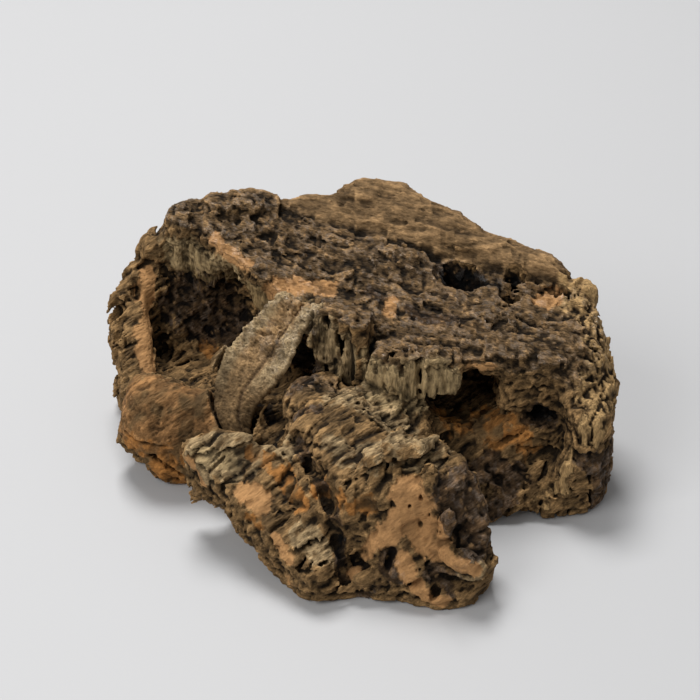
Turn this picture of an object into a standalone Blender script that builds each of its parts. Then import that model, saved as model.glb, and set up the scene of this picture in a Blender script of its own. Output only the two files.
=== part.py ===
"""A knotty chunk of cork-oak bark as it comes off the tree, lying on a surface.

Run it with: blender --background --python part.py

The chunk is one natural piece, so it is one object. It is roughed out the way a carver would do it:
broken blocks of bark, each a plan outline with a sloping top, are fused into one body, hollows are
scooped out of that body, and its skin is roughened. Lengths here are in metres, and +Z is up. The
origin is the middle of the chunk's box on the surface that it lies on, +X is its long way, and the
low, broken front faces -Y.
"""

import math

import bmesh
import bpy
from mathutils import Euler, Matrix, Vector

NAME = "cork_bark"
MM = 0.001

# Driving dimensions: the box that the finished chunk fills.
LENGTH = 0.196
DEPTH = 0.166
HEIGHT = 0.086

FUSE_VOXEL = 0.0026
SKIN_VOXEL = 0.0021
KEPT_FACES = 0.18

BARK_BROWN = (0.16, 0.10, 0.06, 1.0)
BARK_ROUGHNESS = 0.9


def clear_scene():
    for obj in list(bpy.data.objects):
        bpy.data.objects.remove(obj, do_unlink=True)


def collection(name):
    made = bpy.data.collections.new(name)
    bpy.context.scene.collection.children.link(made)
    return made


def rounded(outline, steps=3):
    """A closed outline with extra points on the smooth curve through the given ones (Catmull-Rom)."""
    made = []
    count = len(outline)
    for i in range(count):
        a, b, c, d = (Vector(outline[(i + k) % count]) for k in (-1, 0, 1, 2))
        for step in range(steps):
            t = step / steps
            square = 2 * a - 5 * b + 4 * c - d
            cube = 3 * b - a - 3 * c + d
            made.append(0.5 * (2 * b + (c - a) * t + square * t**2 + cube * t**3))
    return made


def add_block(body, outline, top, fall=(0.0, 0.0), foot=-6.0, flare=1.0):
    """Adds a broken block of bark to the body, in millimetres: a plan outline, the height that its
    top's plane has over the origin, how much that plane rises per unit of x and of y, the height of
    its foot, and how much wider the foot is than the top."""
    ring = rounded(outline)
    middle = sum(ring, Vector((0, 0))) / len(ring)
    low, high = [], []
    for point in ring:
        foot_point = middle + (point - middle) * flare
        height = max(top + point.x * fall[0] + point.y * fall[1], foot + 2)
        low.append(body.verts.new(Vector((*foot_point, foot)) * MM))
        high.append(body.verts.new(Vector((*point, height)) * MM))
    count = len(ring)
    for i in range(count):
        j = (i + 1) % count
        body.faces.new((low[i], low[j], high[j], high[i]))
    body.faces.new(high)
    body.faces.new(list(reversed(low)))


def add_lump(body, centre, half, turn=(0, 0, 0), squareness=2.0):
    """Adds a rounded lump, in millimetres and degrees. Squareness 2 is an ellipsoid, and higher
    values swell it towards a box."""
    placed = Matrix.LocRotScale(
        Vector(centre) * MM,
        Euler([math.radians(angle) for angle in turn]),
        Vector(half) * MM,
    )
    made = bmesh.ops.create_icosphere(body, subdivisions=4, radius=1.0)
    for vertex in made["verts"]:
        reach = sum(abs(c) ** squareness for c in vertex.co) ** (1 / squareness)
        vertex.co = placed @ (vertex.co / reach)


def add_flake(body, stations, thick, bow):
    """Adds a curled flake, in millimetres: a strip swept through stations of (middle, half width,
    direction across). Its middle sinks by bow, so that its two long edges stand proud."""
    across_at = (-1.0, -0.55, 0.0, 0.55, 1.0)
    sink_at = (0.0, 0.55, 1.0, 0.55, 0.0)
    middles = [Vector(middle) for middle, _, _ in stations]
    rings = []
    for i, (_, half, across) in enumerate(stations):
        along = (middles[min(i + 1, len(middles) - 1)] - middles[max(i - 1, 0)]).normalized()
        side = Vector(across).normalized()
        side = (side - along * side.dot(along)).normalized()
        out = side.cross(along)
        if out.y > 0:
            out = -out
        face = [middles[i] + side * half * a - out * bow * s for a, s in zip(across_at, sink_at)]
        back = [point - out * thick for point in reversed(face)]
        rings.append([body.verts.new(point * MM) for point in face + back])
    for one, two in zip(rings, rings[1:]):
        for j in range(len(one)):
            k = (j + 1) % len(one)
            body.faces.new((one[j], one[k], two[k], two[j]))
    body.faces.new(rings[0])
    body.faces.new(list(reversed(rings[-1])))


def mesh_object(name, body, where):
    bmesh.ops.recalc_face_normals(body, faces=body.faces)
    mesh = bpy.data.meshes.new(name)
    body.to_mesh(mesh)
    body.free()
    obj = bpy.data.objects.new(name, mesh)
    where.objects.link(obj)
    return obj


def blocks():
    """The broken blocks, lumps and flakes that the chunk is fused from."""
    body = bmesh.new()
    # the thick back block, whose top is the chunk's big rough face
    add_block(
        body,
        [(-79, 76), (-78, 66), (-64, 60), (-55, 49), (-46, 41), (-37, 34), (-26, 24), (-14, 20),
         (-4, 16), (4, 10), (12, 0), (22, -8), (36, -8), (48, -8), (64, -9), (82, -11), (90, -5),
         (92, 6), (89, 20), (80, 34), (66, 46), (52, 55), (38, 64), (26, 72), (14, 79), (5, 82),
         (-5, 82), (-9, 79), (-22, 78), (-34, 77), (-48, 79), (-62, 79)],
        top=56, fall=(0.02, 0.33), flare=0.96,
    )
    # the raised ridge along its back, with a step at its left end
    add_block(
        body,
        [(-7, 82), (-6, 74), (8, 64), (24, 56), (44, 44), (66, 32), (76, 34), (56, 50), (30, 68), (12, 80)],
        top=60, fall=(0.02, 0.33), foot=40,
    )
    # the right end's layered wall and its foot
    add_block(
        body,
        [(76, 10), (76, -16), (72, -30), (80, -31), (89, -27), (94, -14), (94, 4), (90, 20), (82, 24)],
        top=52, fall=(-0.02, 0.30), flare=0.93,
    )
    # the thin torn wall round the left hollow
    add_block(
        body,
        [(-76, 78), (-84, 76), (-91, 66), (-95, 57), (-102, 53), (-102, 42), (-97, 30), (-94, 12),
         (-86, 6), (-80, 12), (-84, 28), (-87, 42), (-86, 54), (-76, 62)],
        top=20, fall=(0.0, 0.62), flare=1.0,
    )
    # the left hollow's floor
    add_block(
        body,
        [(-84, 62), (-92, 24), (-86, 2), (-64, -12), (-44, -20), (-22, 4), (-40, 44), (-62, 66)],
        top=27, fall=(0.0, -0.12),
    )
    # the core that the hollows end in
    add_block(
        body,
        [(-66, -8), (-48, -28), (-30, -46), (0, -56), (24, -40), (36, -10), (10, 24), (-40, 24)],
        top=22,
    )
    # bulges on the back, where the next pieces broke off
    add_lump(body, (-62, 62, 20), (24, 16, 24), turn=(0, 0, 12), squareness=2.6)
    add_lump(body, (4, 72, 26), (20, 12, 34), turn=(0, 6, -8), squareness=2.6)
    add_lump(body, (70, 34, 26), (20, 14, 30), turn=(0, -6, -48), squareness=2.6)
    # the rounded lobe at the front left
    add_lump(body, (-76, 1, 18), (19, 14, 22), turn=(0, 10, -20), squareness=2.8)
    # the front left ridge
    add_block(
        body,
        [(-66, -34), (-61, -42), (-50, -52), (-40, -62), (-30, -74), (-22, -82), (-13, -80), (-9, -70),
         (-14, -56), (-22, -46), (-30, -38), (-42, -33), (-56, -30)],
        top=57, fall=(0.0, 0.52), flare=0.9,
    )
    # the hump down the middle
    add_lump(body, (-8, -34, 17), (24, 36, 30), turn=(10, 0, 8), squareness=2.4)
    add_lump(body, (6, -16, 26), (18, 16, 18), turn=(0, 0, -20), squareness=2.6)
    # the front right ridge: its high part, its low front, and a flake curling off it
    add_block(
        body,
        [(-8, -40), (-2, -54), (6, -66), (20, -68), (33, -66), (35, -56), (30, -44), (14, -34)],
        top=44, fall=(0.12, 0.05), flare=1.1,
    )
    add_block(
        body,
        [(0, -62), (5, -74), (14, -82), (26, -86), (38, -81), (44, -74), (43, -64), (34, -52), (10, -52)],
        top=112, fall=(0.0, 1.22),
    )
    # the slope and lip in front of the right hollow
    add_block(
        body,
        [(16, -10), (20, -40), (32, -52), (46, -47), (58, -38), (66, -34), (80, -28), (88, -8), (70, 6), (40, 6)],
        top=38, fall=(0.0, 0.95),
    )
    # the curled flake that leans from the back block's edge to the lobe
    add_flake(
        body,
        [((-26, 12, 67), 8, (1, -0.8, -0.27)), ((-29, 9, 63), 11, (1, -0.7, -0.25)),
         ((-37, 4, 55), 14, (1, -0.25, -0.1)), ((-44, -1, 46), 15, (1, -0.15, 0.0)),
         ((-49, -9, 38), 12, (1, 0.1, 0.0)), ((-47, -17, 30), 8, (1, 0.2, 0.0)),
         ((-44, -18, 20), 5, (1, 0, 0))],
        thick=5.5, bow=4,
    )
    # the flutes that hang from the back block's front edge over the hump
    for centre, half, turn in (
        ((-17, 15, 53), (3, 6, 13), (-8, 4, 10)),
        ((-8, 13, 52), (4, 6, 13), (-8, 0, 0)),
        ((1, 6, 52), (3, 5, 12), (-8, -4, -10)),
        ((6, -5, 47), (4, 6, 11), (-12, 4, -20)),
        ((15, -8, 48), (4, 5, 11), (-10, 0, 0)),
        ((26, -9, 49), (5, 4, 10), (-6, 0, 5)),
    ):
        add_lump(body, centre, half, turn, squareness=4)
    return body


HOLLOWS = (
    # name, centre, half size, turn
    ("behind_the_flake", (-24, 4, 38), (9, 13, 13), (0, 0, -38)),
    ("left_recess", (-63, 38, 44), (16, 30, 20), (0, 0, -38)),
    ("below_the_flake", (-44, -24, 33), (20, 4, 8), (0, 0, -14)),
    ("right_recess", (40, 2, 37), (21, 20, 12), (-14, 0, 0)),
    ("right_scoop", (57, -30, 42), (21, 21, 24), (0, 0, 0)),
    ("right_burrow", (68, -6, 32), (9, 16, 8), (0, 0, 0)),
    ("top_slot", (39, 36, 66), (10, 4.5, 9), (0, 0, -24)),
    ("top_hole", (57, 26, 62), (5, 4.5, 9), (0, 0, -24)),
    ("front_cave", (-5, -78, 0), (11, 20, 10), (0, 0, 0)),
    ("foot_gap", (56, -40, 0), (7, 14, 7), (0, 0, -30)),
    ("back_scoop", (-32, 88, 26), (26, 13, 30), (8, 10, 4)),
    ("back_right_scoop", (46, 72, 22), (22, 12, 26), (10, 0, -38)),
    ("right_end_scoop", (103, 2, 20), (12, 13, 18), (0, 8, 0)),
    ("left_end_scoop", (-106, 30, 12), (12, 12, 14), (0, -10, 0)),
    ("back_split", (-9, 88, 56), (2.2, 11, 40), (0, 6, 0)),
    ("back_right_split", (82, 40, 48), (9, 2.2, 34), (0, 0, -50)),
    ("under_back", (-22, 38, -3), (40, 20, 9), (0, 0, -6)),
    ("under_right", (52, 14, -3), (20, 20, 8), (0, 0, 20)),
    ("under_front", (6, -42, -3), (14, 14, 8), (0, 0, 0)),
)


def hollows(where):
    """The hollows scooped out of the fused blocks, each its own cutter."""
    made = []
    for name, centre, half, turn in HOLLOWS:
        body = bmesh.new()
        add_lump(body, centre, half, turn, squareness=2.6)
        cutter = mesh_object(name, body, where)
        cutter.hide_render = True
        cutter.display_type = "WIRE"
        made.append(cutter)
    return made


def cloud_texture(name, scale, depth):
    texture = bpy.data.textures.new(name, "CLOUDS")
    texture.noise_scale = scale
    texture.noise_depth = depth
    texture.noise_basis = "ORIGINAL_PERLIN"
    return texture


def add_remesh(obj, voxel):
    modifier = obj.modifiers.new("fuse", "REMESH")
    modifier.mode = "VOXEL"
    modifier.voxel_size = voxel


def add_smooth(obj, turns):
    modifier = obj.modifiers.new("soften", "SMOOTH")
    modifier.factor = 0.5
    modifier.iterations = turns


def add_cut(obj, cutter):
    modifier = obj.modifiers.new("cut " + cutter.name, "BOOLEAN")
    modifier.operation = "DIFFERENCE"
    modifier.object = cutter


def add_roughness(obj, texture, strength):
    modifier = obj.modifiers.new("roughen", "DISPLACE")
    modifier.texture = texture
    modifier.texture_coords = "LOCAL"
    modifier.strength = strength
    modifier.mid_level = 0.5


def evaluated_copy(obj, name, where):
    """A plain mesh object of what the viewport shows of obj, which is then removed."""
    graph = bpy.context.evaluated_depsgraph_get()
    mesh = bpy.data.meshes.new_from_object(obj.evaluated_get(graph), depsgraph=graph)
    mesh.name = name
    bpy.data.objects.remove(obj, do_unlink=True)
    made = bpy.data.objects.new(name, mesh)
    where.objects.link(made)
    return made


def fit_to_box(obj):
    """Moves the body over the origin, and stretches it by the percent or so that makes it fill the
    driving dimensions."""
    points = [vertex.co for vertex in obj.data.vertices]
    low = Vector(min(p[axis] for p in points) for axis in range(3))
    high = Vector(max(p[axis] for p in points) for axis in range(3))
    middle = Vector(((low.x + high.x) / 2, (low.y + high.y) / 2, low.z))
    stretch = Vector((LENGTH, DEPTH, HEIGHT))
    for axis in range(3):
        stretch[axis] /= high[axis] - low[axis]
    obj.data.transform(Matrix.Diagonal(stretch).to_4x4() @ Matrix.Translation(-middle))


def bark_material():
    material = bpy.data.materials.new("cork bark")
    material.use_nodes = True
    shader = material.node_tree.nodes["Principled BSDF"]
    shader.inputs["Base Color"].default_value = BARK_BROWN
    shader.inputs["Roughness"].default_value = BARK_ROUGHNESS
    shader.inputs["Metallic"].default_value = 0.0
    return material


def main():
    clear_scene()
    parts = collection("cork bark chunk")
    helpers = collection("cutters")
    body = mesh_object("body", blocks(), parts)
    add_remesh(body, FUSE_VOXEL)
    add_smooth(body, 2)
    for cutter in hollows(helpers):
        add_cut(body, cutter)
    add_roughness(body, cloud_texture("knots", 0.022, 2), 0.009)
    add_remesh(body, SKIN_VOXEL)
    add_roughness(body, cloud_texture("crust", 0.007, 2), 0.004)
    thin = body.modifiers.new("thin", "DECIMATE")
    thin.ratio = KEPT_FACES
    under = bmesh.new()
    bmesh.ops.create_cube(under, size=1.0)
    surface = mesh_object("surface", under, helpers)
    surface.hide_render = True
    surface.display_type = "WIRE"
    surface.data.transform(Matrix.Diagonal((2 * LENGTH, 2 * DEPTH, HEIGHT)).to_4x4())
    surface.data.transform(Matrix.Translation((0, 0, -HEIGHT / 2)))
    add_cut(body, surface)
    bark = evaluated_copy(body, NAME, parts)
    fit_to_box(bark)
    bark.data.materials.append(bark_material())


main()
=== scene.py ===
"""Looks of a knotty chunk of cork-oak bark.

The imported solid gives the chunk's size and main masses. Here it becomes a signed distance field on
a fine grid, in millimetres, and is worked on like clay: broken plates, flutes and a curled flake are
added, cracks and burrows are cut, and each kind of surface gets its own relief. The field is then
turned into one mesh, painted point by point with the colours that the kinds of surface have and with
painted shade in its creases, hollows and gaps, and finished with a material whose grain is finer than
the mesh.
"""

import math
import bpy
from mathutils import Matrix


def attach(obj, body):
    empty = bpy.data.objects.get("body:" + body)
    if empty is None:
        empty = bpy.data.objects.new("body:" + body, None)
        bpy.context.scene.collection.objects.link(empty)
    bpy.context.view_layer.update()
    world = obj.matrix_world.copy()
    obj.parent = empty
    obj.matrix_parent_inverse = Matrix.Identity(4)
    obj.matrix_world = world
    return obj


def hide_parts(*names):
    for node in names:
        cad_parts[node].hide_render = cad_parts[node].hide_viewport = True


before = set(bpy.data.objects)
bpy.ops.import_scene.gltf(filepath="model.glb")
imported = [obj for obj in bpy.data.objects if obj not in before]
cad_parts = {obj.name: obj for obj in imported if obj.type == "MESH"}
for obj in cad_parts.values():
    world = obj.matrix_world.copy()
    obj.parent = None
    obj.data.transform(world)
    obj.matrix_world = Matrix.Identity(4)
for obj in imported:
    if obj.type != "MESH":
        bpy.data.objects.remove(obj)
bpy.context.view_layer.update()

from concurrent.futures import ThreadPoolExecutor

import bpy
import numpy as np
import openvdb as vdb
from mathutils import Euler, Vector

MM = 0.001

# The grid, in millimetres.
VOXEL = 0.65
LOW = (-103.0, -88.0, -1.5)
HIGH = (103.0, 88.0, 92.0)
REACH = 9.0  # how far from the surface the distances are known
TOOL_ROOM = 4  # how far round a tool the field is worked on
BAND = 4.5  # how far from the surface the relief is worked out
CORNER_BLUR = 1.2  # takes the CAD solid's sharp corners off
NORMAL_BLUR = 1.5  # evens out the directions that the relief follows
EDGE_BLUR = 1.2  # what counts as close round a point
HOLLOW_BLUR = 5.0  # what counts as further round it
FOOT_HEIGHT = 0.15  # where the chunk's underside is cut level

# The camera looks down at the chunk from the front.
ELEVATION = 33.0
DISTANCE = 0.650
FIELD_OF_VIEW = 24.0
TARGET = Vector((-0.002, 0.033, 0.034))


def make_camera():
    data = bpy.data.cameras.new("camera")
    data.sensor_width = 36.0
    data.lens = data.sensor_width / 2 / math.tan(math.radians(FIELD_OF_VIEW / 2))
    data.clip_start = 0.01
    camera = bpy.data.objects.new("camera", data)
    tilt = math.radians(ELEVATION)
    camera.location = TARGET - Vector((0, math.cos(tilt), -math.sin(tilt))) * DISTANCE
    camera.rotation_euler = (math.radians(90 - ELEVATION), 0, 0)
    bpy.context.scene.collection.objects.link(camera)
    bpy.context.scene.camera = camera


make_camera()

# ---------------------------------------------------------------------------------------------
# Noise, worked out for lists of points in millimetres.

POOL = ThreadPoolExecutor(4)
CHUNK = 120_000


def by_chunks(work, points, *more):
    """work(points, ...) done on slices of the points side by side, and joined up again."""
    starts = range(0, len(points), CHUNK)
    cuts = [slice(start, start + CHUNK) for start in starts]
    made = list(POOL.map(lambda cut: work(points[cut], *[m[cut] for m in more]), cuts))
    return np.concatenate(made)


def scrambled(h):
    h = (h ^ (h >> np.uint32(15))) * np.uint32(0x2C1B3C6D)
    h = (h ^ (h >> np.uint32(12))) * np.uint32(0x297A2D39)
    return h ^ (h >> np.uint32(15))


def lattice_parts(cell, seed):
    """The hash parts of each cell and of its neighbour, one pair per axis."""
    primes = np.array([73856093, 19349663, 83492791], np.uint32)
    key = np.uint32((seed * 2654435761) % 4294967291)
    first = cell.astype(np.int32).view(np.uint32) * primes
    first[:, 0] ^= key
    return first, primes


SLOPES = np.array(
    [(1, 1, 0), (-1, 1, 0), (1, -1, 0), (-1, -1, 0), (1, 0, 1), (-1, 0, 1), (1, 0, -1), (-1, 0, -1),
     (0, 1, 1), (0, -1, 1), (0, 1, -1), (0, -1, -1), (1, 1, 0), (0, -1, 1), (-1, 1, 0), (0, -1, -1)],
    np.float32,
)


def noise(points, wave, seed):
    """Smooth noise, about -1 to 1, whose bumps are about wave wide: one number, or one per axis."""
    q = points / np.asarray(wave, np.float32)
    cell = np.floor(q)
    f = (q - cell).astype(np.float32)
    first, primes = lattice_parts(cell, seed)
    ease = f * f * f * (f * (f * 6 - 15) + 10)
    total = np.zeros(len(points), np.float32)
    for dx in (0, 1):
        hx = first[:, 0] if not dx else first[:, 0] + primes[0]
        wx = ease[:, 0] if dx else 1 - ease[:, 0]
        for dy in (0, 1):
            hy = first[:, 1] + primes[1] * np.uint32(dy)
            wy = wx * (ease[:, 1] if dy else 1 - ease[:, 1])
            hxy = hx ^ hy
            for dz in (0, 1):
                h = scrambled(hxy ^ (first[:, 2] + primes[2] * np.uint32(dz)))
                g = SLOPES[(h & np.uint32(15)).astype(np.intp)]
                dot = g[:, 0] * (f[:, 0] - dx) + g[:, 1] * (f[:, 1] - dy) + g[:, 2] * (f[:, 2] - dz)
                total += wy * (ease[:, 2] if dz else 1 - ease[:, 2]) * dot
    return total * 1.15


def cells(points, wave, seed):
    """For points among scattered cells about wave wide: columns of the distance to the nearest cell
    centre, the extra distance to the second nearest, and the nearest cell's own random number."""
    q = points / np.asarray(wave, np.float32)
    cell = np.floor(q)
    f = (q - cell).astype(np.float32)
    first, primes = lattice_parts(cell, seed)
    near = np.full(len(points), 9.0, np.float32)
    second = near.copy()
    own = np.zeros(len(points), np.float32)
    for dx in (-1, 0, 1):
        for dy in (-1, 0, 1):
            for dz in (-1, 0, 1):
                shift = np.array([dx, dy, dz], np.int32).view(np.uint32)
                at = first + primes * shift
                h = scrambled(at[:, 0] ^ at[:, 1] ^ at[:, 2])
                cx = (h & np.uint32(1023)).astype(np.float32) / 1023 + dx - f[:, 0]
                cy = ((h >> np.uint32(10)) & np.uint32(1023)).astype(np.float32) / 1023 + dy - f[:, 1]
                cz = ((h >> np.uint32(20)) & np.uint32(1023)).astype(np.float32) / 1023 + dz - f[:, 2]
                away = np.sqrt(cx * cx + cy * cy + cz * cz)
                closer = away < near
                second = np.where(closer, near, np.minimum(second, away))
                near = np.where(closer, away, near)
                own = np.where(closer, (scrambled(h) & np.uint32(4095)).astype(np.float32) / 4095, own)
    return np.stack([near, second - near, own], axis=1)


def layered_noise(points, wave, seed, octaves):
    """Noise with finer and weaker noise on it."""
    wave = np.asarray(wave, np.float32)
    total, strength, size = 0.0, 1.0, 0.0
    for octave in range(octaves):
        total = total + strength * noise(points, wave, seed + octave)
        size += strength
        wave = wave * 0.52
        strength *= 0.5
    return total / size * 1.3


def turn_matrix(turn):
    return np.array(Euler([math.radians(a) for a in turn]).to_matrix(), np.float32)


def turned(points, turn):
    """The points in a frame turned by that many degrees about x, y and z."""
    return points @ turn_matrix(turn)


def smooth_step(low, high, value):
    t = np.clip((value - low) / (high - low), 0, 1)
    return t * t * (3 - 2 * t)


# ---------------------------------------------------------------------------------------------
# The clay: a field of distances to the surface, less than 0 inside.

ORIGIN = tuple(int(math.floor(low / VOXEL)) for low in LOW)
SHAPE = tuple(int(math.ceil(high / VOXEL)) - at for high, at in zip(HIGH, ORIGIN))
AXES = [(np.arange(count) + at).astype(np.float32) * VOXEL for count, at in zip(SHAPE, ORIGIN)]
TRANSFORM = vdb.createLinearTransform(VOXEL)


def field_of(obj):
    mesh = obj.data
    mesh.calc_loop_triangles()
    points = np.empty(len(mesh.vertices) * 3, np.float32)
    mesh.vertices.foreach_get("co", points)
    triangles = np.empty(len(mesh.loop_triangles) * 3, np.int32)
    mesh.loop_triangles.foreach_get("vertices", triangles)
    grid = vdb.FloatGrid.createLevelSetFromPolygons(
        points.reshape(-1, 3) / MM,
        triangles=triangles.reshape(-1, 3),
        transform=TRANSFORM,
        halfWidth=REACH / VOXEL,
    )
    field = np.empty(SHAPE, np.float32)
    grid.copyToArray(field, ijk=ORIGIN)
    return field


def blurred(field, radius):
    """The field averaged over about radius millimetres, by box averages done twice."""
    width = max(1, int(round(radius / VOXEL)))
    for _ in range(2):
        for axis in range(3):
            moved = np.moveaxis(field, axis, 0)
            padded = np.concatenate([moved[:1]] * width + [moved] + [moved[-1:]] * width)
            running = np.cumsum(padded, axis=0, dtype=np.float64)
            running = np.concatenate([np.zeros_like(running[:1]), running])
            span = 2 * width + 1
            field = np.moveaxis((running[span:] - running[:-span]) / span, 0, axis).astype(np.float32)
    return field


def window(centre, reach):
    """The part of the grid within reach of the centre along each axis: slices, and its coordinates
    round the centre."""
    cuts, local = [], []
    for axis in range(3):
        low = np.searchsorted(AXES[axis], centre[axis] - reach[axis])
        high = np.searchsorted(AXES[axis], centre[axis] + reach[axis])
        cuts.append(slice(low, high))
        shape = [1, 1, 1]
        shape[axis] = -1
        local.append((AXES[axis][low:high] - centre[axis]).reshape(shape))
    return tuple(cuts), local


def in_frame(local, turn):
    axes = turn_matrix(turn)
    return [local[0] * axes[0, i] + local[1] * axes[1, i] + local[2] * axes[2, i] for i in range(3)]


def ellipsoid(local, half):
    u = [c / h for c, h in zip(local, half)]
    k0 = np.sqrt(u[0] ** 2 + u[1] ** 2 + u[2] ** 2) + 1e-6
    k1 = np.sqrt((u[0] / half[0]) ** 2 + (u[1] / half[1]) ** 2 + (u[2] / half[2]) ** 2) + 1e-6
    return k0 * (k0 - 1) / k1


def rounded_box(local, half, edge):
    q = [np.abs(c) - (h - edge) for c, h in zip(local, half)]
    outside = np.sqrt(sum(np.maximum(c, 0) ** 2 for c in q))
    return outside + np.minimum(np.maximum(np.maximum(q[0], q[1]), q[2]), 0) - edge


def joined(one, two, soft):
    """The union of two fields, with a fillet about as wide as soft."""
    if soft <= 0:
        return np.minimum(one, two)
    h = np.maximum(soft - np.abs(one - two), 0) / soft
    return np.minimum(one, two) - h * h * soft / 4


def tool(centre, half, turn, edge):
    """An ellipsoid, or a box whose edges are rounded by edge: its part of the grid, and its field."""
    cuts, local = window(centre, np.abs(turn_matrix(turn)) @ half + TOOL_ROOM)
    local = in_frame(local, turn)
    return cuts, ellipsoid(local, half) if edge is None else rounded_box(local, half, edge)


def add(field, centre, half, turn=(0, 0, 0), edge=None, soft=1.5):
    cuts, made = tool(centre, half, turn, edge)
    field[cuts] = joined(field[cuts], made, soft)


def cut(field, centre, half, turn=(0, 0, 0), edge=None, soft=1.0):
    cuts, made = tool(centre, half, turn, edge)
    field[cuts] = -joined(-field[cuts], made, soft)


def along(path, count):
    """count points on the smooth curve through the path's rows, all columns alike."""
    path = np.asarray(path, float)
    padded = np.vstack([2 * path[0] - path[1], path, 2 * path[-1] - path[-2]])
    made = []
    for t in np.linspace(0, len(path) - 1 - 1e-6, count):
        i = int(t)
        f = t - i
        a, b, c, d = padded[i : i + 4]
        square, cube = 2 * a - 5 * b + 4 * c - d, 3 * b - a - 3 * c + d
        made.append(0.5 * (2 * b + (c - a) * f + square * f**2 + cube * f**3))
    return np.array(made)


# The curled flake: middle, half width, direction across it, and how far its middle is sunk.
FLAKE = (
    ((-22.0, 14.0, 67.0), 7.5, (1, -0.80, -0.27), 2.0),
    ((-27.5, 10.5, 60.5), 9.5, (1, -0.80, -0.27), 3.0),
    ((-33.5, 6.0, 53.0), 11.2, (1, -0.75, -0.25), 3.4),
    ((-39.5, 1.5, 45.5), 11.0, (1, -0.60, -0.20), 2.2),
    ((-44.0, -4.0, 38.0), 8.6, (1, -0.30, -0.05), -0.5),
    ((-44.5, -10.0, 31.0), 5.2, (1, 0.00, 0.00), -2.0),
    ((-42.0, -14.0, 24.0), 2.5, (1, 0.10, 0.00), -1.5),
)
FLAKE_THICK = 1.3


def flake_stations(count):
    rows = [(*middle, half, *across, sink) for middle, half, across, sink in FLAKE]
    return along(rows, count)


def add_flake(field):
    rows = flake_stations(70)
    made = []
    for here, there in zip(rows, rows[1:]):
        run = Vector(there[:3] - here[:3])
        run_way = run.normalized()
        side = Vector(here[4:7])
        side = (side - run_way * side.dot(run_way)).normalized()
        out = side.cross(run_way)
        if out.y > 0:
            out = -out
        half, sink = here[3], here[7]
        middle = Vector((here[:3] + there[:3]) / 2)
        cuts, local = window(middle, (half + 9,) * 3)

        def placed(centre, rows_of):
            at = [local[i] - float(centre[i] - middle[i]) for i in range(3)]
            return [at[0] * row[0] + at[1] * row[1] + at[2] * row[2] for row in rows_of]

        room = rounded_box(placed(middle, (side, run_way, out)), (half + 3.0, run.length + 1, 5.5), 2.5)
        field[cuts] = np.maximum(field[cuts], -room)
        for sign in (-1, 1):
            # each wing runs from the sunk middle line to the edge that stands proud
            wing = (side * half * sign + out * sink).normalized()
            face = wing.cross(run_way).normalized()
            centre = middle - out * sink * 0.5 + side * half * sign * 0.5
            size = (math.hypot(half, sink) / 2 + 0.4, run.length * 1.2, FLAKE_THICK)
            made.append((cuts, rounded_box(placed(centre, (wing, run_way, face)), size, 0.9)))
    for cuts, wing in made:
        field[cuts] = joined(field[cuts], wing, 0.5)


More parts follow.
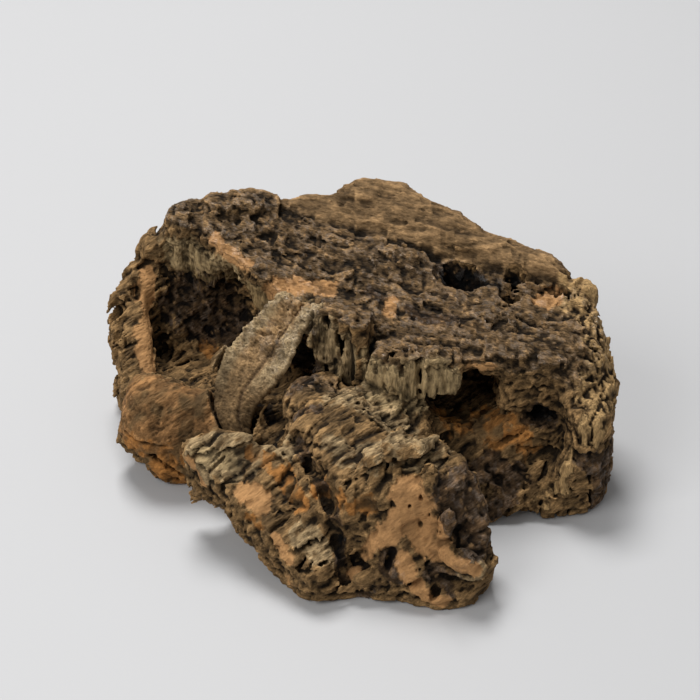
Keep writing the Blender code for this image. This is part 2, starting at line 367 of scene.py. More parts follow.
def shape_masses(field):
    """Brings the CAD solid's masses closer to the real chunk's, before any relief."""
    # the far left corner of the top, and the shoulder below it
    add(field, (-69.5, 66, 70), (5.5, 8, 9), (0, 0, 10), soft=4)
    add(field, (-81, 67, 61), (6, 7, 6), soft=3)
    add(field, (-88, 58, 50), (5, 8, 6), soft=3)
    # the top's far left rim and its right edge
    add(field, (-46, 70, 79), (15, 7, 4.6), (0, 0, -4), soft=3)
    add(field, (70, 37, 68.5), (15, 7, 4.6), (0, 12, -34), soft=3)
    add(field, (86, 25, 63.5), (6, 7, 4.6), (0, 30, -34), soft=3)
    # the right hollow: a lit wall on its right with a pit in it, and a deep dark part on its left
    add(field, (70, 4, 44), (17, 11.5, 13), (-16, 0, 0), edge=4, soft=4)
    add(field, (66, -2, 24), (16, 12, 6), (-20, 0, 0), soft=5)
    cut(field, (69, -9, 33), (4.6, 9, 4.6), (0, 0, 8), soft=1.5)
    cut(field, (38, 6, 37), (14, 20, 11), (-10, 0, 0), soft=3)
    cut(field, (48, 2, 40), (6, 12, 9), (-10, 0, 0), soft=2)
    # the left hollow, undercut below the back block
    cut(field, (-58, 40, 42), (15, 26, 16), (0, 0, -38), soft=3)
    # the lobe's and the front left ridge's undersides are drawn in
    cut(field, (-92, -14, 1), (15, 18, 18), (0, 0, -10), soft=4)
    cut(field, (-56, -44, 3), (11, 14, 13), (0, 0, -30), soft=4)
    cut(field, (-43, -62, 2), (11, 14, 11), (0, 0, -35), soft=4)
    cut(field, (-49, -53, 7), (9, 13, 13), (0, 0, -32), soft=4)
    cut(field, (48, -80, 4), (6, 6, 9), soft=3)
    # crumbly plates close to the floor, between the two front ridges
    add(field, (0, -68, 5), (15, 7.5, 5.5), (6, 0, 2), edge=2, soft=2)
    add(field, (-9, -73, 4), (7, 4, 2.2), (8, 10, 20), edge=0.8, soft=1)
    add(field, (9, -73, 3), (6, 4, 2.0), (-6, -8, -12), edge=0.8, soft=1)
    # the valley that parts the hump from the front left ridge
    for centre, half in (
        ((-21, -38, 42), (3.5, 8, 4.5)),
        ((-14.5, -50, 38), (3.5, 9, 5)),
        ((-9, -61, 33), (3.5, 8, 6)),
        ((-6, -70, 22), (3.5, 6, 9)),
        ((-4, -75, 11), (4.5, 5, 6)),
    ):
        cut(field, centre, half, (-22, 0, 24), soft=2)
    # the hump's top, up to the flutes
    add(field, (-15, -9, 37), (12, 15, 9.5), (0, 0, -20), soft=3)
    add_flake(field)
    # flutes that hang from the back block's front edge, and the slots between them
    for centre, half, turn in (
        ((-13.2, 10, 54), (3.0, 4, 13), (-6, 4, 8)),
        ((-7.8, 8.5, 49), (2.5, 4.5, 18), (-8, 3, 0)),
        ((-2.4, 6.5, 48), (3.0, 5.5, 19), (-6, 0, 0)),
        ((3.2, 2.5, 47), (3.0, 6, 19), (-6, -4, -10)),
        ((9.0, -6, 48), (2.6, 4, 11), (-10, 5, -20)),
        ((15.5, -9, 49), (2.8, 4, 11), (-8, -2, 0)),
        ((20.5, -8.5, 50), (1.6, 4, 11), (-8, 3, 0)),
        ((27.5, -9.5, 52), (2.4, 4, 9), (-6, 3, 0)),
        ((32.5, -9, 52), (2.6, 4, 8), (-5, -3, 6)),
        ((36.5, -8, 53), (1.6, 4, 6), (-5, 4, 0)),
    ):
        add(field, centre, half, turn, edge=1.0, soft=0.6)
    for centre, half, turn in (
        ((-10.4, 5, 52), (0.8, 5, 12), (0, 3, 5)),
        ((-5.2, 4, 51), (0.8, 5, 12), (0, 0, 0)),
        ((5.6, -2, 50), (1.7, 8, 13), (0, 0, -15)),
        ((12.4, -9, 47), (1.3, 6, 12), (0, 2, -10)),
        ((23.6, -11, 50), (2.1, 7, 10), (0, -6, 0)),
    ):
        cut(field, centre, half, turn, edge=0.4, soft=0.6)
    # the dark gap right of the curled flake
    cut(field, (-19, 8, 46), (4.6, 10, 9), (0, 0, -30), soft=1.5)
    cut(field, (-18.5, 9, 47), (4.5, 12, 9), (0, 0, 0), soft=1.5)
    # the slot and the hole in the top
    cut(field, (41, 38, 64), (9.5, 3.8, 10), (0, 0, -30), soft=0.6)
    cut(field, (60.5, 32, 62), (4.4, 3.6, 9), (0, 0, -20), soft=0.6)
    # grey plates that lift off the hump's right side
    for centre, half, turn in (
        ((7, -50, 45), (3.8, 8, 1.5), (-20, -12, 10)),
        ((14.5, -48, 47.5), (4.0, 9, 1.5), (-16, 8, -12)),
        ((22.5, -50, 48.5), (3.8, 7, 1.4), (-12, -24, -30)),
    ):
        add(field, centre, half, turn, edge=0.5, soft=0.4)
    cut(field, (22, -58, 45.5), (5, 3.4, 2.4), (0, -15, -25), soft=0.6)
    cut(field, (11, -55, 43.5), (1.0, 6, 3.5), (0, 0, -10), soft=0.6)
    cut(field, (17.5, -55, 45.5), (0.9, 5, 3), (0, 0, -12), soft=0.6)
    # the front right ridge's pointed corner, its lip, and the round end of its lowest layer
    add(field, (25.5, -62, 43), (2.6, 3.2, 5.5), (14, 0, 0), soft=1.5)
    add(field, (31, -70.5, 29), (2.2, 2.6, 9), (18, 12, 0), soft=1.5)
    add(field, (37, -75.5, 17.5), (9, 4.0, 4.2), (0, 22, -22), soft=1.0)
    cut(field, (35, -79.5, 10.0), (8, 5, 3.4), (0, 16, -16), soft=0.8)
    cut(field, (20, -79.5, 10.0), (5, 4, 2.0), (0, -24, 10), soft=0.8)
    cut(field, (12, -75, 17), (3.0, 5, 5.5), (0, 20, 0), soft=1.2)
    cut(field, (2.5, -73, 17), (2.6, 5, 5), (0, -10, 0), soft=1.2)
    cut(field, (28, -80, 8), (2.5, 4, 4), (0, 30, 0), soft=1.0)
    for place in ((22.5, -66, 38), (18.5, -67, 35), (25.5, -68, 31.5), (22.5, -70, 28), (29, -71, 26)):
        cut(field, place, (0.9, 4.5, 1.2), (-18, 0, 0), soft=0.3)
    # cracks across the lobe, and pits in the torn wall's outer side
    cut(field, (-80, -12, 22), (10, 8, 1.3), (8, 8, -20), edge=0.3, soft=0.5)
    cut(field, (-70, -14, 10), (8, 8, 1.3), (10, 38, 0), edge=0.3, soft=0.5)
    cut(field, (-76, -14, 14), (7, 6, 0.7), (0, 24, 0), edge=0.3, soft=0.5)
    cut(field, (-95, 45, 44), (4, 5, 6), (0, 10, 0), soft=1.2)
    cut(field, (-93, 33, 38), (3.5, 4, 6), (0, 10, 0), soft=1.2)
    cut(field, (-87, 50, 52), (2.5, 4, 6), (0, 0, 0), soft=1.2)
    # gaps among the front left ridge's lower plates
    cut(field, (-15, -73, 15), (7, 6, 2.0), (0, -14, 20), soft=0.8)
    cut(field, (-24, -64, 20), (8, 5, 1.2), (30, -20, 30), soft=0.8)
    cut(field, (-30, -72, 8), (8, 7, 1.6), (0, 20, 30), soft=0.8)
    cut(field, (-58, -30, 30), (16, 3.5, 5), (0, 0, -8), soft=1.5)
    # splits in the low foot of the right end
    for x, y, lean in ((64, -31, 10), (70, -32, 6), (75, -34, -4), (81, -33, 5), (87, -29, -6)):
        cut(field, (x, y, 12), (1.0, 6, 14), (0, lean, 10), edge=0.4, soft=0.6)
    cut(field, (64, -36, 2), (6, 8, 6), (0, 0, 10), soft=1.5)


def groove_y(x):
    """Where the groove across the top runs, behind which the bark is smoother and fibrous."""
    return 55.0 - 0.40 * (x - 6.0)


# Strokes of each kind of surface, and of painted shade: polylines in millimetres with a reach round them.
STROKES = {
    "cut_cork": (
        (4.0, (-84, 58, 53), (-83, 47, 46), (-83, 38, 40)),
        (5.0, (-83, 34, 40), (-81, 24, 35), (-77, 16, 33)),
        (3.0, (-55, 54, 72), (-48, 46, 69), (-42, 41, 68)),
        (4.2, (-31, 32, 62), (-25, 29, 66), (-17, 30, 66), (-10, 29, 66)),
        (2.6, (14, 22, 63), (12, 15, 60)),
        (3.6, (42, -10, 53), (50, -10, 54)),
        (4.2, (70, 21, 64), (76, 24, 64)),
        (5.0, (18, -65, 40), (21, -66, 36)),
        (6.2, (21, -66, 35), (22, -68, 29), (27, -72, 23)),
        (4.8, (10, -71, 26), (15, -69, 29), (20, -68, 31)),
        (3.0, (28, -72, 22), (34, -78, 19), (41, -80, 18)),
        (2.6, (7, -70, 24), (3, -71, 16), (-1, -72, 9)),
        (2.8, (16, -74, 18), (19, -77, 12), (25, -81, 6), (30, -81, 4)),
        (4.6, (-38, -51, 28), (-33, -55, 27)),
        (1.6, (-60, -38, 34), (-54, -46, 24), (-44, -56, 14)),
        (2.2, (-28, -66, 20), (-22, -72, 15)),
        (3.4, (-30, -70, 9), (-24, -76, 5)),
        (2.4, (-88, 0, 38), (-90, -2, 30)),
    ),
    "grey": (
        (7.0, (-12, 8, 60), (-11, 7, 48)),
        (7.0, (-3, 6, 58), (-1, 3, 44)),
        (8.0, (-6, -18, 46), (4, -18, 46), (14, -28, 42)),
        (8.0, (7, -50, 45), (15, -48, 47), (24, -51, 48)),
        (9.0, (-54, -40, 36), (-42, -40, 36), (-32, -36, 38)),
        (5.0, (-8, -42, 42), (-2, -50, 39)),
        (5.0, (-18, -66, 22), (-12, -72, 16)),
        (4.5, (38, -79, 13), (42, -80, 20)),
    ),
    "pale": (
        (8.0, (8, -9, 57), (9, -12, 40)),
        (8.0, (17, -12, 58), (18, -13, 40)),
        (7.5, (28, -12, 59), (34, -12, 47)),
        (3.6, (-56, -40, 36), (-46, -41, 35)),
        (8.0, (-70, 64, 64), (-58, 56, 61), (-48, 48, 60)),
    ),
    "skin": (
        (11.0, (-86, 0, 34), (-72, -4, 38), (-62, -6, 36)),
        (10.0, (-84, -8, 26), (-74, -12, 24), (-62, -12, 26)),
    ),
    "warm": (
        (10.0, (38, -2, 24), (48, -4, 23), (60, -10, 22)),
        (4.6, (-12, -56, 35), (-4, -60, 33), (4, -62, 32)),
        (4.0, (-60, 48, 26), (-54, 40, 28)),
        (3.4, (-36, -38, 36), (-26, -46, 34), (-20, -58, 29)),
        (10.0, (-82, -12, 14), (-74, -14, 12), (-64, -13, 6)),
        (3.0, (-40, -52, 22), (-28, -64, 22)),
    ),
    "layers": (
        (9.0, (84, 26, 64), (92, 12, 58), (93, -2, 50), (90, -14, 46)),
        (5.0, (94, 20, 50), (97, 4, 40), (96, -8, 32)),
        (5.0, (88, -24, 46), (86, -28, 36)),
        (2.8, (79, -30, 29), (75, -31, 18), (69.5, -33, 8)),
        (3.0, (52, -42, 4), (58, -36, 10)),
        (3.2, (62, -35, 5), (68, -32, 12), (76, -29, 14)),
    ),
    "flutes": (
        (9.0, (-66, 64, 60), (-56, 56, 56), (-46, 46, 54), (-36, 36, 52)),
        (8.0, (-14, 10, 55), (0, 5, 54), (0, 3, 42)),
        (7.0, (8, -7, 48), (18, -10, 50), (32, -11, 51)),
        (6.0, (-28, 24, 58), (-18, 20, 58)),
    ),
    # painted shade: near black in the slots, the hole, the gap right of the flake, the pits and the deepest
    # cracks
    "deep_shade": (
        (2.2, (-88, -14, 22), (-76, -18, 22), (-70, -18, 21)),
        (7.5, (33, 42.5, 59), (49, 33.5, 59)),
        (5.5, (60.5, 32, 60), (60.5, 34, 54)),
        (7.0, (-25, 4, 38), (-20, 12, 42)),
        (6.0, (-21, 20, 36), (-18, 20, 42)),
        (2.2, (23.6, -4, 54), (23.6, -8, 44)),
        (2.2, (5.6, 2, 56), (5.6, -2, 44)),
        (5.0, (69, -6, 33), (70, 2, 33)),
        (5.5, (36, 16, 34), (30, 10, 34)),
        (2.4, (-6, -68, 20), (-4, -74, 10)),
        (2.2, (12.4, -5, 53), (12.4, -8, 42)),
        (1.8, (-5.4, 8, 56), (-5.4, 6, 44)),
        (4.5, (-36, 2, 30), (-34, -4, 28)),
    ),
    # dark bark on the top's crust and the front right ridge's flank, and painted shade in the hollows, gaps,
    # pits and under the low ends
    "dark_bark_and_shade": (
        (7.0, (33, -66, 40), (34, -72, 34), (40, -76, 24)),
        (8.5, (38, -60, 38), (42, -68, 24)),
        (6.5, (48, -22, 18), (58, -24, 15), (52, -34, 8)),
        (4.5, (84.5, -30, 27), (89, -28, 22), (92, -24, 14)),
        (3.4, (12, -75, 15), (13, -78, 12)),
        (4.0, (27, -77, 13), (34, -80, 10)),
        (10.0, (44, -40, 30), (48, -36, 12)),
        (13.0, (-68, 60, 40), (-60, 56, 38), (-50, 50, 36)),
        (6.0, (-44, 46, 46), (-36, 34, 46)),
        (6.0, (69, -10, 33), (70, 2, 33)),
        (8.0, (38, 12, 34), (30, 6, 36)),
        (6.5, (-25, 2, 41), (-19, 8, 44)),
        (7.0, (-10, -68, 5), (8, -68, 5)),
        (2.6, (-24, -24, 42), (-14, -26, 46)),
        (3.4, (-24, -12, 42), (-16, -4, 46)),
        (2.2, (-21, -36, 40), (-14, -50, 36), (-8, -63, 30), (-5, -74, 14)),
        (3.2, (12, -73, 18), (11, -74, 13)),
        (8.0, (93, -22, 22), (91, -22, 8)),
        (4.0, (33, 41, 65), (47, 35, 64)),
        (3.5, (6, 26, 66), (12, 20, 65)),
        (3.0, (20, 17, 64), (28, 12, 62), (36, 12, 62)),
        (3.6, (60.5, 32, 64), (60.5, 34, 58)),
    ),
}


def near_stroke(points, stroke):
    """How far each point is from a stroke's polyline, as a share of its reach."""
    reach, *corners = stroke
    best = np.full(len(points), 1e9, np.float32)
    for a, b in zip(corners, corners[1:]):
        a = np.array(a, np.float32)
        run = np.array(b, np.float32) - a
        t = np.clip(((points - a) @ run) / (run @ run), 0, 1)
        away = points - a - t[:, None] * run
        best = np.minimum(best, np.einsum("ij,ij->i", away, away))
    return np.sqrt(best) / reach


def painted(points, kind, wobble):
    """How much of that kind of surface each point has, 0 to 1, with a ragged border."""
    share = np.zeros(len(points), np.float32)
    for stroke in STROKES[kind]:
        share = np.maximum(share, 1 - smooth_step(0.90, 1.10, near_stroke(points, stroke) + wobble))
    return share


def on_flake(points):
    """Each point's place on the curled flake: how far across from -1 to 1, and how far off it in mm."""
    rows = flake_stations(24)
    best = np.full(len(points), 1e9, np.float32)
    across = np.zeros(len(points), np.float32)
    reach = np.full(len(points), 9.0, np.float32)
    for row in rows:
        away = points - row[:3].astype(np.float32)
        side = row[4:7] / np.linalg.norm(row[4:7])
        far = np.einsum("ij,ij->i", away, away)
        place = (away @ side.astype(np.float32)) / row[3]
        closer = far < best
        best = np.where(closer, far, best)
        across = np.where(closer, place, across)
        reach = np.where(closer, np.sqrt(far) / (row[3] + 3), reach)
    return across, reach


def kinds_at(points, normals):
    """The share of each kind of surface at each point, as a dict of arrays."""
    wobble = 0.50 * noise(points, 8.0, 11) + 0.35 * noise(points, 3.0, 12) + 0.20 * noise(points, 1.4, 13)
    x, y, z = points.T
    top_plane = 55.5 + 0.02 * x + 0.335 * y
    on_top = smooth_step(-9, -4, z - top_plane + 2.5 * wobble) * smooth_step(0.25, 0.60, normals[:, 2])
    on_top *= smooth_step(-16, -10, y)
    behind = smooth_step(-1.5, 1.5, y - groove_y(x) + 2.0 * wobble)
    kinds = {kind: painted(points, kind, wobble * 0.8) for kind in STROKES}
    across, reach = on_flake(points)
    flake = 1 - smooth_step(0.85, 1.05, reach)
    kinds["flake"] = flake
    high = smooth_step(36, 42, z + 5 * wobble)
    kinds["flake_edge"] = flake * high * smooth_step(0.34, 0.60, np.abs(across + 0.1) + 0.30 * wobble)
    kinds["flake_low"] = flake * smooth_step(50, 39, z + 4 * wobble)
    kinds["flake_seam"] = flake * np.exp(-(((across - 0.22 + 0.10 * wobble) / 0.07) ** 2))
    kinds["crust"] = on_top * (1 - behind)
    kinds["fibre"] = on_top * behind
    at_back = smooth_step(0.0, 6.0, y - 62 + 0.06 * np.abs(x))
    kinds["outer"] = at_back * (1 - on_top) * smooth_step(-0.2, 0.3, normals[:, 1])
    return kinds


def ridged(points, wave, seed):
    """Sharp ridges between smooth hollows, about -1 to 1."""
    return 1 - 3.2 * np.abs(noise(points, wave, seed))


def cracks(cell, width):
    """1 on the borders between cells, fading to 0 within width."""
    return np.exp(-((cell[:, 1] / width) ** 2))


TOP_TURN = (0, 0, -24)  # how the grain of the top runs
SLAB_TURN = (22, -14, 36)  # how the grain of the hump and the ridges runs
FLAKE_TURN = (0, -40, 24)  # how the lines on the curled flake run
LAYER_PITCH = 4.2  # from one growth layer to the next


def relief(points, normals):
    """How far each point of the surface is pushed out, in millimetres, worked out near the surface."""
    k = kinds_at(points, normals)
    smooth = np.clip(k["cut_cork"] * 0.85 + k["flake"] * 0.9, 0, 1)
    bend = np.stack([noise(points, 13.0, s) for s in (21, 22, 23)], axis=1)
    warped = points + 2.4 * bend
    out = 0.4 + 1.1 * layered_noise(points, 15.0, 31, 3) * (1 - 0.6 * smooth)
    patchy = smooth_step(-0.20, 0.30, noise(points, 12.0, 33))

    # crust: folds and low plates split by cracks, on a grain that runs slantwise, and crumbs
    grain = turned(warped, TOP_TURN)
    big = cells(grain, (15.0, 6.0, 5.0), 41)
    small = cells(grain + 0.8 * bend[:, ::-1], (3.2, 1.9, 1.9), 42)
    plates = (big[:, 2] - 0.5) * 1.3 - 1.6 * patchy * cracks(big, 0.08)
    crumbs = (small[:, 2] - 0.5) * 1.0 - 0.35 * small[:, 0]
    folds = ridged(grain, (22.0, 6.5, 6.5), 43)
    crust = np.clip(k["crust"] + 0.75 * k["dark_bark_and_shade"], 0, 1)
    out += crust * (0.8 * plates + 0.7 * crumbs + 0.7 * folds)

    # fibre: long low ridges
    fibre_grain = turned(warped, (0, 4, -20))
    strands = ridged(fibre_grain, (34, 4.6, 4.6), 51)
    fine = ridged(fibre_grain, (14, 1.8, 1.8), 52)
    out += k["fibre"] * (0.8 + 0.55 * strands + 0.32 * fine + 0.2 * crumbs)
    groove = np.exp(-(((points[:, 1] - groove_y(points[:, 0]) + 3 * bend[:, 0]) / 2.2) ** 2))
    out -= 2.2 * groove * np.clip(k["crust"] + k["fibre"], 0, 1) * smooth_step(-30, -14, points[:, 0])

    # flutes: ribs that run down
    ribs = ridged(warped, (13.0, 13.0, 90), 61)
    thin_ribs = ridged(points + bend, (1.9, 1.9, 22), 62)
    notches = ridged(warped, (9.0, 9.0, 2.6), 63)
    walls = np.clip(k["flutes"], 0, 1) * (1 - k["flake"])
    out += walls * (1.3 * ribs + 0.35 * thin_ribs + 0.20 * notches)

    # growth layers, seen on edge at the right end and on the back
    slant = points[:, 0] * 0.80 - points[:, 1] * 0.52 + 0.10 * points[:, 2] + 3.0 * bend[:, 0]
    step = slant / LAYER_PITCH
    tooth = step - np.floor(step)
    place = np.stack([np.floor(step) * 7.3, points[:, 2] * 0.14, points[:, 1] * 0.08], axis=1)
    strength = 0.7 + 0.9 * noise(place, 1.0, 71)
    layered = np.clip(k["layers"] + 0.20 * k["outer"], 0, 1)
    ridges = cells(turned(points + 5.0 * bend, (0, 8, 0)), (13.0, 13.0, 34.0), 73)
    out += k["outer"] * ((ridges[:, 2] - 0.5) * 3.2 - 2.8 * cracks(ridges, 0.07))
    chips = cells(turned(points + 2.5 * bend, (0, 0, 33)), (3.8, 8.0, 22.0), 72)
    teeth = 1.8 * strength * (tooth - 0.6) - 1.3 * patchy * cracks(chips, 0.08)
    out += layered * (teeth + 1.6 * (chips[:, 2] - 0.5) + 0.3 * thin_ribs)

    # the hump and the ridges: slanting plates, long cracks and streaks
    slabs = turned(warped, SLAB_TURN)
    flags = cells(slabs, (30.0, 6.5, 6.0), 81)
    rest = np.clip(1 - crust - k["fibre"] - walls - layered - 0.85 * k["cut_cork"] - k["flake"], 0, 1)
    rest = rest * (1 - 0.5 * k["skin"])
    streaks = ridged(slabs, (28.0, 3.8, 3.8), 82)
    hairs = ridged(slabs, (14.0, 1.7, 1.7), 83)
    flag_relief = (flags[:, 2] - 0.5) * 1.6 - 2.0 * patchy * cracks(flags, 0.06)
    out += rest * (flag_relief + 0.60 * streaks + 0.42 * hairs)

    # cut cork: nearly smooth, with burrows of insects
    burrows = cells(points, 8.5, 91)
    holes = smooth_step(0.17, 0.09, burrows[:, 0]) * (burrows[:, 2] > 0.55)
    out -= k["cut_cork"] * 3.0 * holes
    out += k["cut_cork"] * (0.35 * layered_noise(points, 4.0, 92, 2) + 0.3 * streaks * (1 - patchy))

    # the curled flake: shallow lines along it
    lines = ridged(turned(points, FLAKE_TURN), (2.0, 2.0, 26), 95)
    out += k["flake"] * (0.34 * lines - 0.3) - 0.9 * k["flake_seam"]

    out += (0.22 + 0.22 * crust - 0.14 * smooth) * layered_noise(points, 2.2, 97, 2)
    # close to the floor it is drawn in, and plainer
    low = smooth_step(9, 0, points[:, 2])
    upright = smooth_step(0.5, -0.3, np.abs(normals[:, 2]))
    out = out * (1 - 0.7 * smooth_step(4, 0, points[:, 2])) - 2.0 * low * upright
    return out.astype(np.float32)


def normals_of(field, picked):
    """The outward direction at the picked cells."""
    made = np.stack([np.gradient(field, axis=axis)[picked] for axis in range(3)], axis=1)
    return made / (np.linalg.norm(made, axis=1, keepdims=True) + 1e-6)


def points_of(picked):
    index = np.nonzero(picked)
    return np.stack([AXES[axis][index[axis]] for axis in range(3)], axis=1)


def sampled(field, points):
    """The field's values at points between its cells."""
    q = points / VOXEL - np.array(ORIGIN, np.float32)
    q = np.clip(q, 0, np.array(SHAPE) - 1.001)
    cell = q.astype(np.intp)
    f = (q - cell).astype(np.float32)
    total = np.zeros(len(points), np.float32)
    for dx in (0, 1):
        for dy in (0, 1):
            for dz in (0, 1):
                weight = np.abs(1 - dx - f[:, 0]) * np.abs(1 - dy - f[:, 1]) * np.abs(1 - dz - f[:, 2])
                total += weight * field[cell[:, 0] + dx, cell[:, 1] + dy, cell[:, 2] + dz]
    return total


def biggest_piece(count, faces):
    """Which points belong to the largest connected piece."""
    label = np.arange(count)
    while True:
        lowest = label[faces].min(axis=1)
        new = label.copy()
        np.minimum.at(new, faces.ravel(), np.repeat(lowest, faces.shape[1]))
        new = new[new]
        if np.array_equal(new, label):
            break
        label = new
    return label == np.bincount(label).argmax()


def surface_of(field):
    """Points in millimetres and quads of the field's surface, its largest piece only."""
    grid = vdb.FloatGrid(REACH)
    grid.copyFromArray(field, ijk=ORIGIN)
    grid.transform = TRANSFORM
    points, _, quads = grid.convertToPolygons(isovalue=0.0, adaptivity=0.0)
    keep = biggest_piece(len(points), quads)
    quads = quads[keep[quads[:, 0]]]
    used, quads = np.unique(quads, return_inverse=True)
    return points[used].astype(np.float32), quads.reshape(-1, 4)


def carved(node_name):
    """The whole chunk as a field: its masses, then the relief, then the level it stands on."""
    field = blurred(field_of(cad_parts[node_name]), CORNER_BLUR)
    shape_masses(field)
    picked = np.abs(field) < BAND
    normals = normals_of(blurred(field, NORMAL_BLUR), picked)
    field[picked] -= by_chunks(relief, points_of(picked), normals)
    return np.maximum(field, FOOT_HEIGHT - AXES[2].reshape(1, 1, -1))


# ---------------------------------------------------------------------------------------------
# Paint: each point gets the colour of its kinds of surface, in linear light, with painted shade in creases,
# hollows and gaps.

COLOURS = {
    "base": (0.136, 0.081, 0.034),
    "crust": (0.122, 0.074, 0.034),
    "fibre": (0.168, 0.102, 0.047),
    # dark bark, also used as painted shade
    "dark_bark_and_shade": (0.052, 0.030, 0.015),
    # near black, for painted shade in the deepest gaps
    "deep_shade": (0.008, 0.005, 0.003),
    "flutes": (0.190, 0.130, 0.060),
    "outer": (0.160, 0.098, 0.045),
    "grey": (0.205, 0.145, 0.076),
    "pale": (0.345, 0.248, 0.126),
    "skin": (0.190, 0.096, 0.036),
    "warm": (0.250, 0.108, 0.028),
    "layers": (0.400, 0.255, 0.112),
    "cut_cork": (0.415, 0.222, 0.090),
    "flake": (0.290, 0.180, 0.084),
    "flake_low": (0.080, 0.049, 0.022),
    "flake_edge": (0.290, 0.212, 0.116),
}
CRUMB_COLOUR = (0.34, 0.20, 0.09)
LIGHTEST = 0.42  # no channel of any colour is lighter


def mixed(one, two, share):
    return one + (two - one) * share[:, None]


def grain_place(points, k):
    """Each point's place along and across its own grain, in millimetres, drawn out along the grain."""
    made = turned(points, SLAB_TURN) * (0.30, 1.0, 1.0)
    top = k["crust"] + k["fibre"] > 0.5
    made = np.where(top[:, None], turned(points, TOP_TURN) * (0.45, 1.0, 1.0), made)
    upright = np.maximum(k["flutes"], np.maximum(k["layers"], k["outer"])) > 0.5
    made = np.where((upright & ~top)[:, None], points * (1.0, 1.0, 0.28), made)
    made = np.where((k["flake"] > 0.5)[:, None], turned(points, FLAKE_TURN) * (1.0, 1.0, 0.22), made)
    return made.astype(np.float32)


def tone_at(points, normals, edge, hollow):
    """Columns for each point: its colour, how waxy it is, how gritty, and its place in the grain.
    edge is how proud the point stands of what is close round it, in millimetres, and hollow the
    same for what is further round it."""
    k = kinds_at(points, normals)
    place = grain_place(points, k)
    patch = noise(points, 11.0, 101)
    blotch = 0.5 * noise(place, 3.4, 102) + 0.5 * noise(points, 5.0, 105)
    speck = noise(place, 1.5, 103)
    flecks = cells(points, 2.4, 104)
    colour = np.tile(np.array(COLOURS["base"], np.float32), (len(points), 1))

    def paint(kind, share):
        nonlocal colour
        colour = mixed(colour, np.array(COLOURS[kind], np.float32), share)

    for kind, most in (("crust", 1.0), ("fibre", 1.0), ("flutes", 0.9), ("outer", 0.8)):
        paint(kind, most * k[kind])
    ragged = 0.55 + 1.1 * blotch + 0.5 * speck
    paint("grey", 0.85 * k["grey"] * (1 - k["crust"]) * smooth_step(0.15, 0.65, ragged + 0.5 * edge))
    paint("pale", 0.85 * k["pale"] * (1 - k["crust"]) * smooth_step(-0.1, 0.5, ragged + 0.5 * edge))
    paint("skin", 0.9 * k["skin"] * smooth_step(-0.2, 0.4, 0.3 + 0.8 * blotch + 0.4 * patch))
    paint("warm", 0.9 * k["warm"] * smooth_step(0.0, 0.5, 0.35 + 1.0 * blotch + 0.7 * patch))
    paint("layers", k["layers"] * smooth_step(-0.5, 0.4, 1.4 * edge + 0.9 * blotch + 0.3 * speck))
    # dark bark, and painted shade in the hollows and gaps
    paint("dark_bark_and_shade", 0.9 * k["dark_bark_and_shade"])
    # near black painted shade in the deepest gaps, slots and pits
    paint("deep_shade", 0.95 * k["deep_shade"] * (1 - k["flake"]))
    paint("flake", k["flake"])
    paint("flake_edge", 0.9 * k["flake_edge"] * smooth_step(-0.5, 0.2, 0.3 + 0.8 * blotch + 0.4 * speck))
    paint("flake_low", 0.95 * k["flake_low"])
    # painted shade along the flake's sunk seam
    paint("dark_bark_and_shade", 0.75 * k["flake_seam"])
    paint("cut_cork", k["cut_cork"] * smooth_step(-0.6, 0.0, 0.35 + 0.8 * blotch + 0.3 * speck + 0.3 * hollow))
    # proud edges are made lighter, partly wear and partly painted highlight, and creases and hollows get painted
    # shade
    plainer_kinds = (("cut_cork", 0.6), ("flake", 0.25), ("skin", 0.35), ("warm", 0.45), ("pale", 0.2), ("fibre", 0.35))
    contrast_share = 1 - np.maximum.reduce([share * k[kind] for kind, share in plainer_kinds])
    edge_wear_and_highlight = smooth_step(0.03, 0.45, edge) * contrast_share
    colour = colour * (1 + 1.5 * edge_wear_and_highlight * (0.60 + 0.8 * blotch))[:, None]
    crease_shade = smooth_step(0.02, 0.40, -edge) * 0.85 + smooth_step(0.3, 2.2, -hollow) * 0.55
    colour = colour * (1 - np.clip(crease_shade * contrast_share, 0, 0.90))[:, None]
    colour = colour * (0.97 + 0.40 * patch + 0.38 * blotch * contrast_share + 0.32 * speck * contrast_share)[:, None]
    # crumbs of cut cork and pale fibre scattered over the crust
    rough = np.clip(k["crust"] + k["dark_bark_and_shade"] + 0.5 * k["fibre"] + 0.2, 0, 1)
    pale = (flecks[:, 2] > 0.88) * smooth_step(0.40, 0.22, flecks[:, 0]) * rough
    colour = mixed(colour, np.array(CRUMB_COLOUR, np.float32), 0.65 * pale)
    waxy = np.clip(k["crust"] + 0.7 * k["dark_bark_and_shade"], 0, 1) * smooth_step(0.55, 0.35, flecks[:, 2])
    waxy = waxy * smooth_step(-0.2, 0.3, edge + 0.2 * blotch)
    colour *= np.minimum(1, LIGHTEST / (colour.max(axis=1) + 1e-6))[:, None]
    grit = contrast_share * (0.9 + 0.3 * k["crust"])
    return np.column_stack([np.clip(colour, 0.002, 1.0), waxy, grit, place]).astype(np.float32)


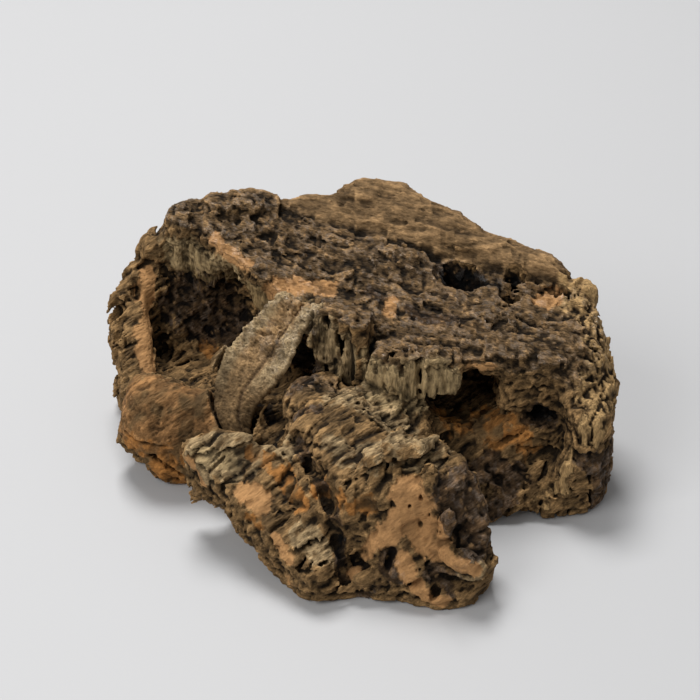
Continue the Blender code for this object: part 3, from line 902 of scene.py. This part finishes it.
def bark_object(points, quads, field):
    edge_field = blurred(field, EDGE_BLUR)
    edge = sampled(edge_field, points)
    hollow = sampled(blurred(field, HOLLOW_BLUR), points)
    slopes = [sampled(np.gradient(edge_field, axis=axis), points) for axis in range(3)]
    gradient = np.stack(slopes, axis=1)
    normals = gradient / (np.linalg.norm(gradient, axis=1, keepdims=True) + 1e-6)
    paint = by_chunks(tone_at, points, normals, edge, hollow)
    mesh = bpy.data.meshes.new("cork_bark_skin")
    mesh.vertices.add(len(points))
    mesh.vertices.foreach_set("co", (points * MM).ravel())
    mesh.loops.add(quads.size)
    mesh.loops.foreach_set("vertex_index", quads.ravel().astype(np.int32))
    mesh.polygons.add(len(quads))
    mesh.polygons.foreach_set("loop_start", np.arange(0, quads.size, 4, dtype=np.int32))
    mesh.update(calc_edges=True)
    mesh.validate()
    corners = points[quads]
    across = np.cross(corners[:, 2] - corners[:, 0], corners[:, 3] - corners[:, 1])
    volume = np.einsum("ij,ij->i", across, corners.mean(axis=1)).sum()
    if volume < 0:
        mesh.flip_normals()
    tone = mesh.attributes.new("tone", "FLOAT_COLOR", "POINT")
    rgba = np.ones((len(points), 4), np.float32)
    rgba[:, :3] = paint[:, :3]
    tone.data.foreach_set("color", rgba.ravel())
    for name, column in (("wax", 3), ("grit", 4)):
        values = mesh.attributes.new(name, "FLOAT", "POINT")
        values.data.foreach_set("value", np.ascontiguousarray(paint[:, column]))
    grain = mesh.attributes.new("grain", "FLOAT_VECTOR", "POINT")
    grain.data.foreach_set("vector", np.ascontiguousarray(paint[:, 5:8]).ravel())
    mesh.shade_smooth()
    obj = bpy.data.objects.new("cork_bark_skin", mesh)
    bpy.context.scene.collection.objects.link(obj)
    return obj


def node(tree, kind, **values):
    made = tree.nodes.new(kind)
    for name, value in values.items():
        if name in made.inputs.keys():
            made.inputs[name].default_value = value
        else:
            setattr(made, name, value)
    return made


def bark_material():
    material = bpy.data.materials.new("cork bark")
    material.use_nodes = True
    tree = material.node_tree
    tree.nodes.clear()
    link = tree.links.new
    output = node(tree, "ShaderNodeOutputMaterial")
    shader = node(tree, "ShaderNodeBsdfPrincipled")
    link(shader.outputs[0], output.inputs[0])
    names = ("tone", "wax", "grit", "grain")
    tone, wax, grit, grain = (node(tree, "ShaderNodeAttribute", attribute_name=name) for name in names)

    def noise_node(scale, detail, rough):
        made = node(tree, "ShaderNodeTexNoise", Scale=scale, Detail=detail, Roughness=rough)
        link(grain.outputs["Vector"], made.inputs["Vector"])
        return made.outputs["Fac"]

    def mapped(source, low, high, to_low, to_high):
        made = node(tree, "ShaderNodeMapRange")
        for name, value in (("From Min", low), ("From Max", high), ("To Min", to_low), ("To Max", to_high)):
            made.inputs[name].default_value = value
        link(source, made.inputs["Value"])
        return made.outputs["Result"]

    def worked_out(operation, one, two):
        made = node(tree, "ShaderNodeMath", operation=operation)
        for socket, value in zip(made.inputs, (one, two)):
            if isinstance(value, float):
                socket.default_value = value
            else:
                link(value, socket)
        return made.outputs[0]

    threads = noise_node(1.3, 4.0, 0.70)
    mottle = noise_node(0.42, 3.0, 0.6)
    pores = node(tree, "ShaderNodeTexVoronoi", Scale=0.75)
    link(grain.outputs["Vector"], pores.inputs["Vector"])
    pits = pores.outputs["Distance"]

    # colour: threads, mottling and dark pores, all fainter where the surface is smooth
    shade = worked_out("MULTIPLY", mapped(threads, 0.28, 0.72, 0.30, 1.75), mapped(mottle, 0.3, 0.7, 0.75, 1.25))
    shade = worked_out("MULTIPLY", shade, mapped(pits, 0.0, 0.30, 0.45, 1.0))
    shade = worked_out("MULTIPLY", worked_out("SUBTRACT", shade, 1.0), grit.outputs["Fac"])
    shade = worked_out("ADD", shade, 1.0)
    colour = node(tree, "ShaderNodeVectorMath", operation="SCALE")
    link(tone.outputs["Color"], colour.inputs[0])
    link(shade, colour.inputs["Scale"])
    link(colour.outputs[0], shader.inputs["Base Color"])

    # gloss: dull, but for waxy flecks on the crust
    link(mapped(wax.outputs["Fac"], 0.0, 1.0, 0.16, 0.75), shader.inputs["Specular IOR Level"])
    shine = worked_out("MULTIPLY", wax.outputs["Fac"], mapped(threads, 0.42, 0.58, 0.10, 0.66))
    link(worked_out("SUBTRACT", mapped(threads, 0.3, 0.7, 0.96, 0.80), shine), shader.inputs["Roughness"])

    bump = node(tree, "ShaderNodeBump", Strength=1.0, Distance=0.0012)
    height = worked_out("ADD", threads, mapped(pits, 0.0, 0.5, -0.45, 0.25))
    link(worked_out("MULTIPLY", height, grit.outputs["Fac"]), bump.inputs["Height"])
    link(bump.outputs[0], shader.inputs["Normal"])
    return material


chunk = carved("cork_bark")
bark = bark_object(*surface_of(chunk), chunk)
bark.data.materials.append(bark_material())
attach(bark, "root")
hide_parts("cork_bark")


# ---------------------------------------------------------------------------------------------
# The studio: a pale floor that curves up into a backdrop, and soft light.

def plain_material(name, colour, roughness):
    material = bpy.data.materials.new(name)
    material.use_nodes = True
    shader = material.node_tree.nodes["Principled BSDF"]
    shader.inputs["Base Color"].default_value = (*colour, 1.0)
    shader.inputs["Roughness"].default_value = roughness
    return material


def add_floor():
    """A sheet that lies flat, bends up behind the chunk, and goes on upwards."""
    front, bend, back, high, wide = -5.0, 0.6, 1.9, 1.4, 5.0
    profile = [(front, 0.0), (back, 0.0)]
    for i in range(1, 13):
        angle = math.pi / 2 * i / 12
        profile.append((back + bend * math.sin(angle), bend - bend * math.cos(angle)))
    profile.append((back + bend, high))
    mesh = bpy.data.meshes.new("floor")
    points = [(x, y, z) for y, z in profile for x in (-wide, wide)]
    faces = [(2 * i, 2 * i + 1, 2 * i + 3, 2 * i + 2) for i in range(len(profile) - 1)]
    mesh.from_pydata(points, [], faces)
    mesh.shade_smooth()
    mesh.materials.append(plain_material("pale floor", (0.48, 0.48, 0.485), 0.6))
    obj = bpy.data.objects.new("floor", mesh)
    bpy.context.scene.collection.objects.link(obj)


def add_light(name, place, aim, size, power):
    data = bpy.data.lights.new(name, "AREA")
    data.shape = "RECTANGLE"
    data.size, data.size_y = size
    data.energy = power
    light = bpy.data.objects.new(name, data)
    light.location = place
    light.rotation_euler = (Vector(aim) - Vector(place)).to_track_quat("-Z", "Y").to_euler()
    bpy.context.scene.collection.objects.link(light)


add_floor()
add_light("key", (-0.38, 0.90, 2.0), (0, 0.02, 0.03), (0.9, 0.9), 46.0)
add_light("front fill", (-1.2, -1.0, 1.4), (0, 0, 0.03), (1.3, 1.1), 21.0)
world = bpy.data.worlds.new("studio")
world.use_nodes = True
background = world.node_tree.nodes["Background"]
background.inputs["Color"].default_value = (1.0, 1.0, 1.0, 1.0)
background.inputs["Strength"].default_value = 0.32
bpy.context.scene.world = world
bpy.context.scene.view_settings.view_transform = "Standard"

bpy.context.view_layer.update()
